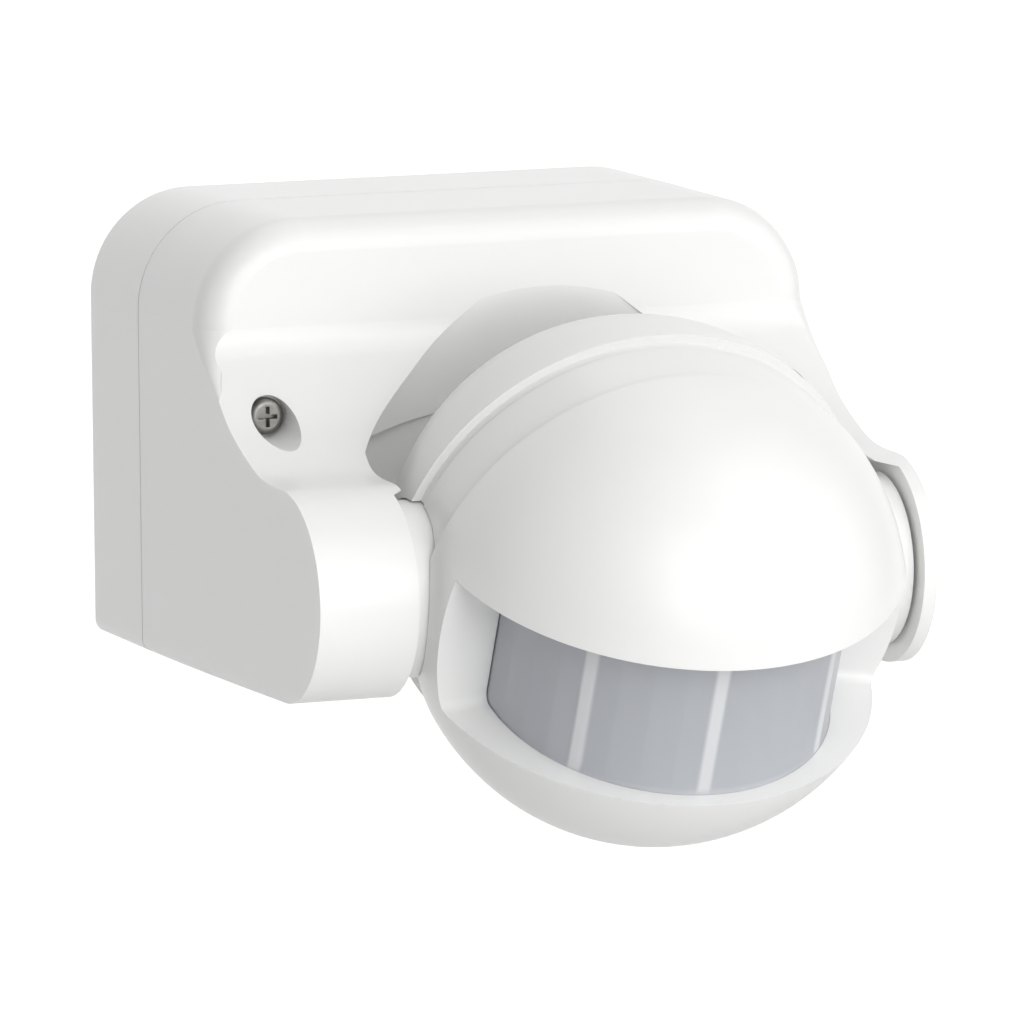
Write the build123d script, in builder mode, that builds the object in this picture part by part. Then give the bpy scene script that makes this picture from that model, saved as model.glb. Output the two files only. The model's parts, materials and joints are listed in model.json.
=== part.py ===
from build123d import *
import os
from math import cos, radians, sin, sqrt, tan

# A wall-mounted motion sensor: a wall base, a front cover with two arms, and a ball-shaped
# head that tilts between the arms. Millimetres. X runs to the right, +Y into the wall, +Z up.
# The origin is the centre of the base's back face.

# ---------------------------------------------------------------- driving dimensions
case_width = 92.0
case_height = 64.0
top_corner_r = 15.0
low_corner_r = 2.0
base_depth = 20.5
base_back = 2.4
base_wall = 3.6
lip_inset = 2.65
seam_gap = 0.3
cover_wall = 2.2
cover_draft = 0.35
front_reach = 47.6

pivot_x = 5.6
pivot_reach = 78.3
pivot_z = -16.0
arm_r = 14.7
arm_left_x = -31.2
arm_right_x = 43.6

head_tilt = 24.0
head_r = 34.8
head_inner_r = 32.2
head_lift = 1.9
rear_centre = 0.9
front_centre = 8.5
groove_start = -3.2
parting = -1.3

window_top = 10.8
window_wall_back = 11.6
cheek_start = 13.35
cheek_slope = 0.25
ledge_rear = -10.05
ledge_slope = 0.068
lens_floor = -12.2
lens_wall = 2.0
drum_centre = 13.2
lens_r = 24.8
lens_thickness = 0.8

hub_r = 12.2
neck_r = 8.9

screw_x = 38.7
screw_z = 5.4
knob_pitch = 11.0
running_gap = 0.05

# the recess behind the head: arched in front view, with a floor that curves back in side view
arch_top = 4.0
arch_half_width = 24.0
arch_foot_z = 1.0
arch_flare = 0.25
# distance out from the head's middle and reach from the wall, from the dish's floor to its soft rim
dish_points = ((0, 39.4), (14.0, 39.9), (24.0, 41.7), (30.5, 44.8), (34.8, 47.0), (38.0, 47.75))
dish_rim_slope = 0.08
dish_edge_half = 7.6
dish_edge_top = 21.4
dish_edge_slope = 0.77
recess_lead = 0.4
recess_start = 21.0
recess_top = 24.0
recess_middle = (45.6, 12.5)
recess_bend = (41.0, 4.0)
recess_deep = 39.4
recess_deep_z = -8.0

# the ramp from the cover's front down to the arms: reach, height, and the direction that
# the surface faces, in degrees above level
ramp_start = 17.0
ramp_points = ((50.4, 11.4, 38), (57.2, 5.0, 55), (66.2, 0.5, 73))
shoulder_r = 5.0

# ---------------------------------------------------------------- frames of the moving head
pivot = Vector(pivot_x, -pivot_reach, pivot_z)
forward = Vector(0, -cos(radians(head_tilt)), -sin(radians(head_tilt)))
upward = Vector(0, -sin(radians(head_tilt)), cos(radians(head_tilt)))
# face: (right, up) seen from the front; side: (forward, up); deck: (right, forward), downwards
face = Plane(origin=pivot, x_dir=(1, 0, 0), z_dir=forward)
side = Plane(origin=pivot, x_dir=forward, z_dir=(-1, 0, 0))
deck = Plane(origin=pivot, x_dir=(1, 0, 0), z_dir=-upward)
head_axis = Axis(pivot + upward * head_lift, forward)
# housing: (forward, up) seen from the left, on a plane well clear of the right side
housing_side = Plane(origin=(case_width, 0, 0), x_dir=(0, -1, 0), z_dir=(-1, 0, 0))
across = 2 * case_width
# sizes of cutting tools that only have to reach past the piece
far = 200
long_cut = 20
clear = 2
half_turn = radians(45)


def finish(piece, name):
    """Label a finished piece and write it as its own STEP file."""
    piece.part.label = name
    export_step(piece.part, f"parts/{name}.step")


def case_outline(reach, inset):
    """The housing's outline, round at the top corners, on the plane at this reach from the wall."""
    with BuildSketch(Plane.XZ.offset(reach)) as outline:
        Rectangle(case_width - 2 * inset, case_height - 2 * inset)
        fillet(outline.vertices().group_by(Axis.Y)[-1], top_corner_r - inset)
        fillet(outline.vertices().group_by(Axis.Y)[0], max(low_corner_r - inset, 0.4))
    return outline.sketch


def cover_profile(start, inset):
    """The cover's side view: level top, upright front, and a ramp that runs out into the round arm."""
    top = case_height / 2
    low = -top + inset
    face_line = front_reach - inset
    radius = arm_r - inset
    knots = []
    for reach, z, turn in ramp_points:
        knots.append((reach - inset * cos(radians(turn)), z - inset * sin(radians(turn))))
    with BuildSketch(housing_side) as profile:
        with BuildLine():
            Polyline((start, low), (start, top - inset), (front_reach - shoulder_r, top - inset))
            RadiusArc(
                (front_reach - shoulder_r, top - inset), (face_line, top - shoulder_r), shoulder_r - inset
            )
            Line((face_line, top - shoulder_r), (face_line, ramp_start))
            Spline(
                (face_line, ramp_start), *knots, (pivot_reach, pivot_z + radius), tangents=[(0, -1), (1, 0)]
            )
            ThreePointArc(
                (pivot_reach, pivot_z + radius),
                (pivot_reach + radius, pivot_z),
                (pivot_reach, pivot_z - radius),
            )
            Line((pivot_reach, pivot_z - radius), (start, low))
        make_face()
    return profile.sketch


def scoop_front(grow):
    """The recess behind the head from the front: arm to arm at the bottom, arched at the top."""
    left = arm_left_x - grow
    right = arm_right_x + grow
    crown = arch_top + grow
    spring_z = arch_foot_z + grow
    low = -case_height
    arch_left = (pivot_x - arch_half_width, spring_z)
    arch_right = (pivot_x + arch_half_width, spring_z)
    with BuildSketch(Plane.XZ) as outline:
        with BuildLine():
            Polyline((left, low), (left, spring_z - (arch_left[0] - left) * arch_flare), arch_left)
            ThreePointArc(arch_left, (pivot_x, crown), arch_right)
            Polyline(
                arch_right,
                (right, spring_z - (right - arch_right[0]) * arch_flare),
                (right, low),
                (left, low),
            )
        make_face()
    return outline.sketch


def scoop_side(grow):
    """The recess from the side: its floor curves back from the cover's front to the head."""
    beyond = pivot_reach + 2 * arm_r
    with BuildSketch(housing_side) as profile:
        with BuildLine():
            ThreePointArc(
                (front_reach - grow + recess_lead, recess_start),
                (recess_middle[0] - grow, recess_middle[1]),
                (recess_bend[0] - grow, recess_bend[1]),
            )
            Polyline(
                (recess_bend[0] - grow, recess_bend[1]),
                (recess_deep - grow, recess_deep_z),
                (recess_deep - grow, -case_height),
                (beyond, -case_height),
                (beyond, recess_top),
                (front_reach - grow + recess_lead, recess_top),
                (front_reach - grow + recess_lead, recess_start),
            )
        make_face()
    return profile.sketch


os.makedirs("parts", exist_ok=True)

# ================================================================ wall base
post_x = 25.0
post_low_z = 2.0
post_high_z = 23.5
post_top = 13.0
pillar_r = 3.6
pillar_gap = 0.2
pillar_top = 49.6
lip_top = base_depth + 2.4
slot_x = 27.0
slot_z = -15.0
slot_width = 4.4
slot_length = 9.0
entry_z = -17.0
entry_r = 8.0
grommet_flange_r = 9.8
grommet_bore_r = 4.2
post_r = 2.6
entry_ring_r = 12.4
entry_ring_height = 1.8
flange_recess = 1.4
pillar_pilot_r = 1.47
pillar_pilot_start = 36.0
post_pilot_r = 1.12
post_pilot_start = 5.0
seal_inset = 1.3

with BuildPart() as base_plate:
    extrude(case_outline(0, 0), amount=base_depth)
    # locating lip inside the cover's edge
    extrude(case_outline(base_depth, lip_inset), amount=lip_top - base_depth)
    extrude(case_outline(base_back, base_wall), amount=lip_top, mode=Mode.SUBTRACT)
    # tall pillars that the cover screws bite into
    with BuildSketch(Plane.XZ.offset(base_back)):
        with Locations((-screw_x, screw_z), (screw_x, screw_z)):
            Circle(pillar_r)
    extrude(amount=pillar_top - base_back)
    # short posts under the power board
    with BuildSketch(Plane.XZ.offset(base_back)):
        for z in (post_low_z, post_high_z):
            with Locations((-post_x, z), (post_x, z)):
                Circle(post_r)
    extrude(amount=post_top - base_back)
    # thick ring round the rear cable entry
    with BuildSketch(Plane.XZ.offset(base_back)):
        with Locations((0, entry_z)):
            Circle(entry_ring_r)
    extrude(amount=entry_ring_height)
    with BuildSketch(Plane.XZ):
        with Locations((0, entry_z)):
            Circle(grommet_flange_r + seam_gap + 0.2)
    extrude(amount=flange_recess, mode=Mode.SUBTRACT)
    with BuildSketch(Plane.XZ):
        with Locations((0, entry_z)):
            Circle(entry_r)
        with Locations((-slot_x, slot_z), (slot_x, slot_z)):
            SlotOverall(slot_length, slot_width)
    extrude(amount=long_cut, mode=Mode.SUBTRACT)
    # pilot holes for the cover screws and the board screws
    with BuildSketch(Plane.XZ.offset(pillar_pilot_start)):
        with Locations((-screw_x, screw_z), (screw_x, screw_z)):
            Circle(pillar_pilot_r)
    extrude(amount=long_cut, mode=Mode.SUBTRACT)
    with BuildSketch(Plane.XZ.offset(post_pilot_start)):
        for z in (post_low_z, post_high_z):
            with Locations((-post_x, z), (post_x, z)):
                Circle(post_pilot_r)
    extrude(amount=long_cut, mode=Mode.SUBTRACT)
finish(base_plate, "base_plate")

with BuildPart() as cable_grommet:
    with BuildSketch(Plane.XY.offset(entry_z)):
        with BuildLine():
            Polyline(
                (4.2, -0.1), (grommet_flange_r, -0.1), (grommet_flange_r, -1.35), (entry_r - 0.05, -1.35),
                (entry_r - 0.05, -4.25), (grommet_flange_r, -4.25), (grommet_flange_r, -5.5), (4.2, -5.5),
                close=True,
            )
        make_face()
    revolve(axis=Axis((0, 0, entry_z), (0, 1, 0)))
finish(cable_grommet, "cable_grommet")

with BuildPart() as rim_seal:
    extrude(case_outline(base_depth, seal_inset), amount=lip_top - base_depth)
    extrude(case_outline(base_depth, lip_inset - 0.05), amount=lip_top - base_depth, mode=Mode.SUBTRACT)
finish(rim_seal, "rim_seal")

# ================================================================ front cover
top_edge_r = 4.5
# height, reach and radius of the front edge's rounding as it fades out down the ramp
corner_steps = ((17.0, 47.6, 4.5), (13.0, 49.2, 2.4), (8.0, 53.9, 0.5))
bore_floor = 52.0
bore_floor_r = 2.9
bore_taper = -4
screw_passage_r = 1.7
tube_r = 5.3
tube_start = 32.0
seam = base_depth + seam_gap
head_clear_r = 38.0
left_shaft_r = 6.0
right_shaft_r = 4.5
arm_wall = 2.2


def clearance_ball(radius, grow):
    """Room for the turning head, held between the flat inner faces of the two arms."""
    with BuildPart() as ball:
        with Locations(pivot):
            Sphere(radius)
        with BuildSketch(Plane.YZ.offset(arm_left_x - grow)):
            Rectangle(far, far)
        extrude(amount=arm_right_x - arm_left_x + 2 * grow, mode=Mode.INTERSECT)
    return ball.part


def dish(grow):
    """The soft round hollow behind the head, held between the flat inner faces of the two arms."""
    rim_r = dish_points[-1][0]
    knots = [(r + grow * r / rim_r, reach - grow) for r, reach in dish_points]
    with BuildPart() as hollow:
        with BuildSketch(Plane(origin=(pivot_x, 0, pivot_z), x_dir=(1, 0, 0), z_dir=(0, 0, -1))):
            with BuildLine():
                Spline(*knots, tangents=[(1, 0), (1, dish_rim_slope)])
                Polyline(knots[-1], (knots[-1][0], far), (0, far), knots[0])
            make_face()
        revolve(axis=Axis((pivot_x, 0, pivot_z), (0, 1, 0)))
        # the two slanting edges that cross the ramps
        left = arm_left_x - grow
        right = arm_right_x + grow
        top = dish_edge_top + grow
        with BuildSketch(Plane.XZ):
            with BuildLine():
                Polyline(
                    (left, -case_height),
                    (left, top - dish_edge_slope * (pivot_x - dish_edge_half - left)),
                    (pivot_x - dish_edge_half, top),
                    (pivot_x - dish_edge_half, case_height),
                    (pivot_x + dish_edge_half, case_height),
                    (pivot_x + dish_edge_half, top),
                    (right, top - dish_edge_slope * (right - pivot_x - dish_edge_half)),
                    (right, -case_height),
                    close=True,
                )
            make_face()
        extrude(amount=far, mode=Mode.INTERSECT)
    return hollow.part


with BuildPart() as scoop:
    extrude(scoop_front(0), amount=far)
    extrude(scoop_side(0), amount=across, mode=Mode.INTERSECT)
    add(dish(0))
    # the tubes round the screw recesses stay whole
    with BuildSketch(Plane.XZ):
        with Locations((-screw_x, screw_z), (screw_x, screw_z)):
            Circle(tube_r)
    extrude(amount=far, mode=Mode.SUBTRACT)
    add(clearance_ball(head_clear_r, 0))

with BuildPart() as scoop_skin:
    extrude(scoop_front(arm_wall), amount=far)
    extrude(scoop_side(arm_wall), amount=across, mode=Mode.INTERSECT)
    add(dish(arm_wall))
    add(clearance_ball(head_clear_r + arm_wall, arm_wall))

with BuildPart() as cover_cavity:
    extrude(cover_profile(seam - long_cut / 2, cover_wall), amount=across)
    inner_outline = case_outline(seam - long_cut / 2 - clear, cover_wall + seam_gap)
    extrude(inner_outline, amount=far, mode=Mode.INTERSECT)
    add(scoop_skin.part, mode=Mode.SUBTRACT)
    # tubes round the base's pillars, solid in front of them
    with BuildSketch(Plane.XZ.offset(tube_start)):
        with Locations((-screw_x, screw_z), (screw_x, screw_z)):
            Circle(tube_r)
    extrude(amount=far, mode=Mode.SUBTRACT)
    with BuildSketch(Plane.XZ.offset(seam - long_cut / 2)):
        with Locations((-screw_x, screw_z), (screw_x, screw_z)):
            Circle(pillar_r + pillar_gap)
    extrude(amount=pillar_top + pillar_gap - seam + long_cut / 2)

with BuildPart() as cover_top:
    # the upright block above the ramp, rounded all along its front edge
    extrude(case_outline(seam, 0), amount=front_reach - seam, taper=cover_draft)
    with BuildSketch(Plane.XY.offset(ramp_start)):
        Rectangle(far, far)
    extrude(amount=-case_height, mode=Mode.SUBTRACT)
    front_rim = cover_top.faces().sort_by(Axis.Y)[0].edges()
    fillet(front_rim.group_by(Axis.Z)[1:], top_edge_r)

with BuildPart() as corner_taper:
    # takes the rounding of the front edge down into the sharp edge of the ramp, on both sides
    for way in (-1, 1):
        for level, reach, radius in corner_steps:
            with BuildSketch(Plane.XY.offset(level)):
                with BuildLine():
                    flank = case_width / 2 - (reach - seam) * tan(radians(cover_draft))
                    inner = (way * (flank - radius), -reach)
                    outer = (way * flank, -reach + radius)
                    middle = (way * (flank - radius * (1 - sqrt(0.5))), -reach + radius * (1 - sqrt(0.5)))
                    ThreePointArc(inner, middle, outer)
                    Polyline(
                        outer, (way * (flank + 2), -reach + radius), (way * (flank + 2), -reach - 2),
                        (way * (flank - radius), -reach - 2), inner,
                    )
                make_face()
        loft()

with BuildPart() as front_cover:
    extrude(case_outline(seam, 0), amount=far, taper=cover_draft)
    extrude(cover_profile(seam, 0), amount=across, mode=Mode.INTERSECT)
    with BuildSketch(Plane.XY.offset(ramp_start)):
        Rectangle(far, far)
    extrude(amount=case_height, mode=Mode.SUBTRACT)
    add(corner_taper.part, mode=Mode.SUBTRACT)
    add(cover_top.part)
    add(scoop.part, mode=Mode.SUBTRACT)
    add(cover_cavity.part, mode=Mode.SUBTRACT)
    # step that takes the base's lip and the rim seal
    lip_outline = case_outline(seam - clear, seal_inset - running_gap)
    extrude(lip_outline, amount=lip_top - seam + clear + 2 * running_gap, mode=Mode.SUBTRACT)
    # screw recesses: a slightly tapered well, then a clearance hole through its floor
    with BuildSketch(Plane.XZ.offset(bore_floor)):
        with Locations((-screw_x, screw_z), (screw_x, screw_z)):
            Circle(bore_floor_r)
    extrude(amount=long_cut, taper=bore_taper, mode=Mode.SUBTRACT)
    with BuildSketch(Plane.XZ.offset(bore_floor - long_cut / 2)):
        with Locations((-screw_x, screw_z), (screw_x, screw_z)):
            Circle(screw_passage_r)
    extrude(amount=20, mode=Mode.SUBTRACT)
    # hub bores through the left arm's inner wall and the right arm
    with BuildSketch(Plane.YZ.offset(arm_left_x + clear)):
        with Locations((-pivot_reach, pivot_z)):
            Circle(left_shaft_r + running_gap)
    extrude(amount=-long_cut / 2, mode=Mode.SUBTRACT)
    with BuildSketch(Plane.YZ.offset(arm_right_x - clear)):
        with Locations((-pivot_reach, pivot_z)):
            Circle(right_shaft_r + running_gap)
    extrude(amount=long_cut / 2, mode=Mode.SUBTRACT)
finish(front_cover, "front_cover")

cover_screw_length = 13.0
cover_screw_head_r = 2.6
cover_screw_head = 1.9
cover_screw_edge_r = 0.9
cover_screw_r = 1.45
cross_length = 2.9
cross_width = 0.62
cross_depth = 1.3
with BuildPart() as cover_screws:
    with BuildSketch(Plane.XZ.offset(bore_floor)):
        with Locations((-screw_x, screw_z), (screw_x, screw_z)):
            Circle(cover_screw_head_r)
    extrude(amount=cover_screw_head)
    fillet(cover_screws.edges().group_by(Axis.Y)[0], cover_screw_edge_r)
    with BuildSketch(Plane.XZ.offset(bore_floor - cover_screw_length)):
        with Locations((-screw_x, screw_z), (screw_x, screw_z)):
            Circle(cover_screw_r)
    extrude(amount=cover_screw_length)
    # cross recess
    with BuildSketch(Plane.XZ.offset(bore_floor + cover_screw_head - cross_depth)):
        with Locations((-screw_x, screw_z), (screw_x, screw_z)):
            Rectangle(cross_length, cross_width)
            Rectangle(cross_width, cross_length)
    extrude(amount=clear, mode=Mode.SUBTRACT)
finish(cover_screws, "cover_screws")

# ================================================================ mains side, inside the base
board_back = post_top
board_thickness = 1.6
board_front = post_top + board_thickness
board_x = 29.0
board_low = -3.5
board_high = 27.5
board_hole_r = 1.3
board_screw_head_r = 2.2
board_screw_head = 1.4
board_screw_r = 1.1
board_screw_length = 7.0
slot_cut_depth = 0.7
slot_cut_width = 0.5
small_head_cut = 2.4
relay_spot = (-13.5, 17.0)
relay_size = (15.4, 18.8, 15.2)
relay_edge_r = 0.6
film_spot = (4.0, 21.5)
film_size = (18.0, 8.0, 14.0)
moulding_r = 0.6
can_spot = (20.0, 15.0)
can_r = 5.0
can_height = 13.0
can_edge_r = 0.7
disc_x = -1.0
disc_z = 12.0
disc_r = 4.6
disc_thickness = 3.6
disc_edge_r = 1.0
lead_gap = 0.6

with BuildPart() as power_board:
    with BuildSketch(Plane.XZ.offset(board_back)):
        with Locations((0, (board_low + board_high) / 2)):
            Rectangle(2 * board_x, board_high - board_low)
        for z in (post_low_z, post_high_z):
            with Locations((-post_x, z), (post_x, z)):
                Circle(board_hole_r, mode=Mode.SUBTRACT)
    extrude(amount=board_front - board_back)
finish(power_board, "power_board")

with BuildPart() as board_screws:
    with BuildSketch(Plane.XZ.offset(board_front)):
        for z in (post_low_z, post_high_z):
            with Locations((-post_x, z), (post_x, z)):
                Circle(board_screw_head_r)
    extrude(amount=board_screw_head)
    with BuildSketch(Plane.XZ.offset(board_front - board_screw_length)):
        for z in (post_low_z, post_high_z):
            with Locations((-post_x, z), (post_x, z)):
                Circle(board_screw_r)
    extrude(amount=board_screw_length)
    with BuildSketch(Plane.XZ.offset(board_front + board_screw_head - slot_cut_depth)):
        for z in (post_low_z, post_high_z):
            with Locations((-post_x, z), (post_x, z)):
                Rectangle(small_head_cut, slot_cut_width)
    extrude(amount=clear, mode=Mode.SUBTRACT)
finish(board_screws, "board_screws")

with BuildPart() as relay:
    with BuildSketch(Plane.XZ.offset(board_front)):
        with Locations(relay_spot):
            RectangleRounded(relay_size[0], relay_size[1], moulding_r + 0.2)
    extrude(amount=relay_size[2])
    fillet(relay.edges().group_by(Axis.Y)[0], relay_edge_r)
finish(relay, "relay")

with BuildPart() as film_capacitor:
    with BuildSketch(Plane.XZ.offset(board_front)):
        with Locations(film_spot):
            RectangleRounded(film_size[0], film_size[1], moulding_r)
    extrude(amount=film_size[2])
finish(film_capacitor, "film_capacitor")

with BuildPart() as smoothing_capacitor:
    with BuildSketch(Plane.XZ.offset(board_front)):
        with Locations(can_spot):
            Circle(can_r)
    extrude(amount=can_height)
    fillet(smoothing_capacitor.edges().group_by(Axis.Y)[0], can_edge_r)
finish(smoothing_capacitor, "smoothing_capacitor")

with BuildPart() as surge_disc:
    with BuildSketch(Plane.YZ.offset(disc_x)):
        with Locations((-board_front - disc_r - lead_gap, disc_z)):
            Circle(disc_r)
    extrude(amount=disc_thickness)
    fillet(surge_disc.edges(), disc_edge_r)
finish(surge_disc, "surge_disc")

terminal_pitch = 8.0
terminal_x = 3.0
terminal_low = -7.5
terminal_high = 5.5
terminal_depth = 13.0
terminal_frame = 2.0
pocket_width = 6.0
pocket_depth = 6.4
pocket_height = 8.5
pocket_reach = board_front + 5.5
contact_gap = 0.2
contact_bore_r = 1.9
access_r = 2.2
terminal_screw_z = -2.6
terminal_thread_r = 1.55
terminal_screw_r = 1.5
terminal_head_r = 2.1
terminal_screw_start = 6.6
terminal_head_start = 9.2
terminal_head_height = 2.4
terminal_cut_width = 0.6
with BuildPart() as terminal_block:
    with BuildSketch(Plane.XZ.offset(board_front)):
        with Locations((terminal_x, (terminal_low + terminal_high) / 2)):
            Rectangle(3 * terminal_pitch + terminal_frame, terminal_high - terminal_low)
    extrude(amount=terminal_depth)
    # three pockets for the contacts, open below and at the front
    with BuildSketch(Plane.XY.offset(terminal_low - clear)):
        with Locations((terminal_x, -pocket_reach)):
            with GridLocations(terminal_pitch, 1, 3, 1):
                Rectangle(pocket_width, pocket_depth)
    extrude(amount=pocket_height + clear, mode=Mode.SUBTRACT)
    with BuildSketch(Plane.XZ.offset(board_front + terminal_screw_start)):
        with Locations((terminal_x, terminal_screw_z)):
            with GridLocations(terminal_pitch, 1, 3, 1):
                Circle(access_r)
    extrude(amount=long_cut / 2, mode=Mode.SUBTRACT)
finish(terminal_block, "terminal_block")

with BuildPart() as terminal_contacts:
    with BuildSketch(Plane.XY.offset(terminal_low)):
        with Locations((terminal_x, -pocket_reach)):
            with GridLocations(terminal_pitch, 1, 3, 1):
                Rectangle(pocket_width - contact_gap, pocket_depth - contact_gap)
                Circle(contact_bore_r, mode=Mode.SUBTRACT)
    extrude(amount=pocket_height - contact_gap)
    with BuildSketch(Plane.XZ.offset(board_front + terminal_screw_start - 0.6)):
        with Locations((terminal_x, terminal_screw_z)):
            with GridLocations(terminal_pitch, 1, 3, 1):
                Circle(terminal_thread_r)
    extrude(amount=pocket_depth, mode=Mode.SUBTRACT)
finish(terminal_contacts, "terminal_contacts")

with BuildPart() as terminal_screws:
    with BuildSketch(Plane.XZ.offset(board_front + terminal_screw_start)):
        with Locations((terminal_x, terminal_screw_z)):
            with GridLocations(terminal_pitch, 1, 3, 1):
                Circle(terminal_screw_r)
    extrude(amount=terminal_head_start - terminal_screw_start + clear / 2)
    with BuildSketch(Plane.XZ.offset(board_front + terminal_head_start)):
        with Locations((terminal_x, terminal_screw_z)):
            with GridLocations(terminal_pitch, 1, 3, 1):
                Circle(terminal_head_r)
    extrude(amount=terminal_head_height)
    with BuildSketch(Plane.XZ.offset(board_front + terminal_head_start + terminal_head_height - 0.9)):
        with Locations((terminal_x, terminal_screw_z)):
            with GridLocations(terminal_pitch, 1, 3, 1):
                Rectangle(pocket_width, terminal_cut_width)
    extrude(amount=clear, mode=Mode.SUBTRACT)
finish(terminal_screws, "terminal_screws")

header_x = -19.0
header_z = -0.5
plug_size = (7.4, 5.4)
header_height = 6.0
with BuildPart() as wire_header:
    with BuildSketch(Plane.XZ.offset(board_front)):
        with Locations((header_x, header_z)):
            Rectangle(*plug_size)
    extrude(amount=header_height)
finish(wire_header, "wire_header")

# ================================================================ head shells
seat_x = 31.5
seat_inner_x = 27.5
seat_r = 14.4
flange_r = 10.5
neck_step_x = 29.2
shell_floor = 27.5
knob_row = front_centre
spigot_r = head_inner_r - 0.15

with BuildPart() as head_interior:
    # hollow of both shells, with solid seats left at the two hubs
    with BuildSketch(side):
        with BuildLine():
            Line((rear_centre - head_inner_r, head_lift), (front_centre + head_inner_r, head_lift))
            ThreePointArc(
                (front_centre + head_inner_r, head_lift),
                (front_centre + head_inner_r * cos(half_turn), head_lift + head_inner_r * sin(half_turn)),
                (front_centre, head_lift + head_inner_r),
            )
            Line((front_centre, head_lift + head_inner_r), (rear_centre, head_lift + head_inner_r))
            ThreePointArc(
                (rear_centre, head_lift + head_inner_r),
                (rear_centre - head_inner_r * cos(half_turn), head_lift + head_inner_r * sin(half_turn)),
                (rear_centre - head_inner_r, head_lift),
            )
        make_face()
    revolve(axis=head_axis)
    for turn in (-1, 1):
        with BuildSketch(side.offset(turn * seat_inner_x)):
            Circle(seat_r)
        extrude(amount=turn * 20, mode=Mode.SUBTRACT)

with BuildPart() as hub_sockets:
    # the round openings that the two hubs are clamped in
    for turn in (-1, 1):
        with BuildSketch(side.offset(turn * (seat_inner_x - 6))):
            Circle(flange_r + 0.1)
        extrude(amount=turn * (neck_step_x - seat_inner_x + 6))
        with BuildSketch(side.offset(turn * seat_inner_x)):
            Circle(neck_r + 0.03)
        extrude(amount=turn * 12)
        with BuildSketch(side.offset(turn * seat_x)):
            Circle(hub_r + 0.25)
        extrude(amount=turn * 12)

head_screw_spots = [(0.0, 22.5), (-24.5, -12.5), (24.5, -12.5)]
head_screw_seat = -10.0

with BuildPart() as head_rear_envelope:
    with BuildSketch(side):
        with BuildLine():
            band_r = head_r - 1.5
            edge_r = sqrt(head_r**2 - (rear_centre - groove_start) ** 2)
            Line((rear_centre - head_r, head_lift), (parting, head_lift))
            Line((parting, head_lift), (parting, head_lift + band_r))
            Line((parting, head_lift + band_r), (groove_start, head_lift + band_r))
            Line((groove_start, head_lift + band_r), (groove_start, head_lift + edge_r))
            ThreePointArc(
                (groove_start, head_lift + edge_r),
                (rear_centre - head_r * cos(half_turn), head_lift + head_r * sin(half_turn)),
                (rear_centre - head_r, head_lift),
            )
        make_face()
    revolve(axis=head_axis)

with BuildPart() as spigot:
    # thin ring that centres the front shell, cut away at the hubs and the pillars
    with BuildSketch(side):
        with Locations((-3.7, head_lift + spigot_r - 0.45)):
            Rectangle(8.6, 0.9)
    revolve(axis=head_axis)
    for turn in (-1, 1):
        with BuildSketch(side.offset(turn * (seat_inner_x - 3))):
            Circle(seat_r + 0.3)
        extrude(amount=turn * 20, mode=Mode.SUBTRACT)
    with BuildSketch(face.offset(parting - 9)):
        with Locations(*head_screw_spots):
            Circle(3.45)
    extrude(amount=20, mode=Mode.SUBTRACT)

with BuildPart() as head_rear_shell:
    add(head_rear_envelope.part)
    add(head_interior.part, mode=Mode.SUBTRACT)
    # screw tubes from the parting plane back into the wall
    with BuildSketch(face.offset(parting - 22)):
        with Locations(*head_screw_spots):
            Circle(3.2)
    extrude(amount=22)
    add(spigot.part)
    # keep inside the shell's own skin
    add(head_rear_envelope.part + spigot.part, mode=Mode.INTERSECT)
    add(hub_sockets.part, mode=Mode.SUBTRACT)
    with BuildSketch(face.offset(head_screw_seat)):
        with Locations(*head_screw_spots):
            Circle(1.3)
    extrude(amount=20, mode=Mode.SUBTRACT)
    with BuildSketch(face.offset(head_screw_seat)):
        with Locations(*head_screw_spots):
            Circle(2.5)
    extrude(amount=-30, mode=Mode.SUBTRACT)
finish(head_rear_shell, "head_rear_shell")

with BuildPart() as head_front_envelope:
    with BuildSketch(side):
        with BuildLine():
            Polyline(
                (front_centre + head_r, head_lift),
                (parting, head_lift),
                (parting, head_lift + head_r - 1.1),
                (front_centre - 1.3, head_lift + head_r - 0.75),
                (front_centre - 0.6, head_lift + head_r),
                (front_centre, head_lift + head_r),
            )
            ThreePointArc(
                (front_centre, head_lift + head_r),
                (front_centre + head_r * cos(half_turn), head_lift + head_r * sin(half_turn)),
                (front_centre + head_r, head_lift),
            )
        make_face()
    revolve(axis=head_axis)

drum_r = lens_r + 0.05
frame_r = 22.3
with BuildPart() as window_walls:
    # ledge, hood underside and cheeks, left standing in the hollow of the front shell
    with BuildSketch(side.offset(-50)):
        with Locations((window_wall_back, lens_floor - lens_wall)):
            Rectangle(60, window_top - lens_floor + 2 * lens_wall, align=(Align.MIN, Align.MIN))
    extrude(amount=100)
    with BuildSketch(deck.offset(-window_top - 8)):
        with Locations((0, drum_centre)):
            Circle(frame_r)
    extrude(amount=window_top - lens_floor + 16, mode=Mode.SUBTRACT)

cheek_foot_r = 1.6


def is_cheek_foot(point):
    """True for a point low down at the back of the window, out beyond the lens."""
    spot = point - pivot
    return spot.dot(upward) < 0 and spot.dot(forward) < 25 and abs(spot.X) > drum_r


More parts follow.
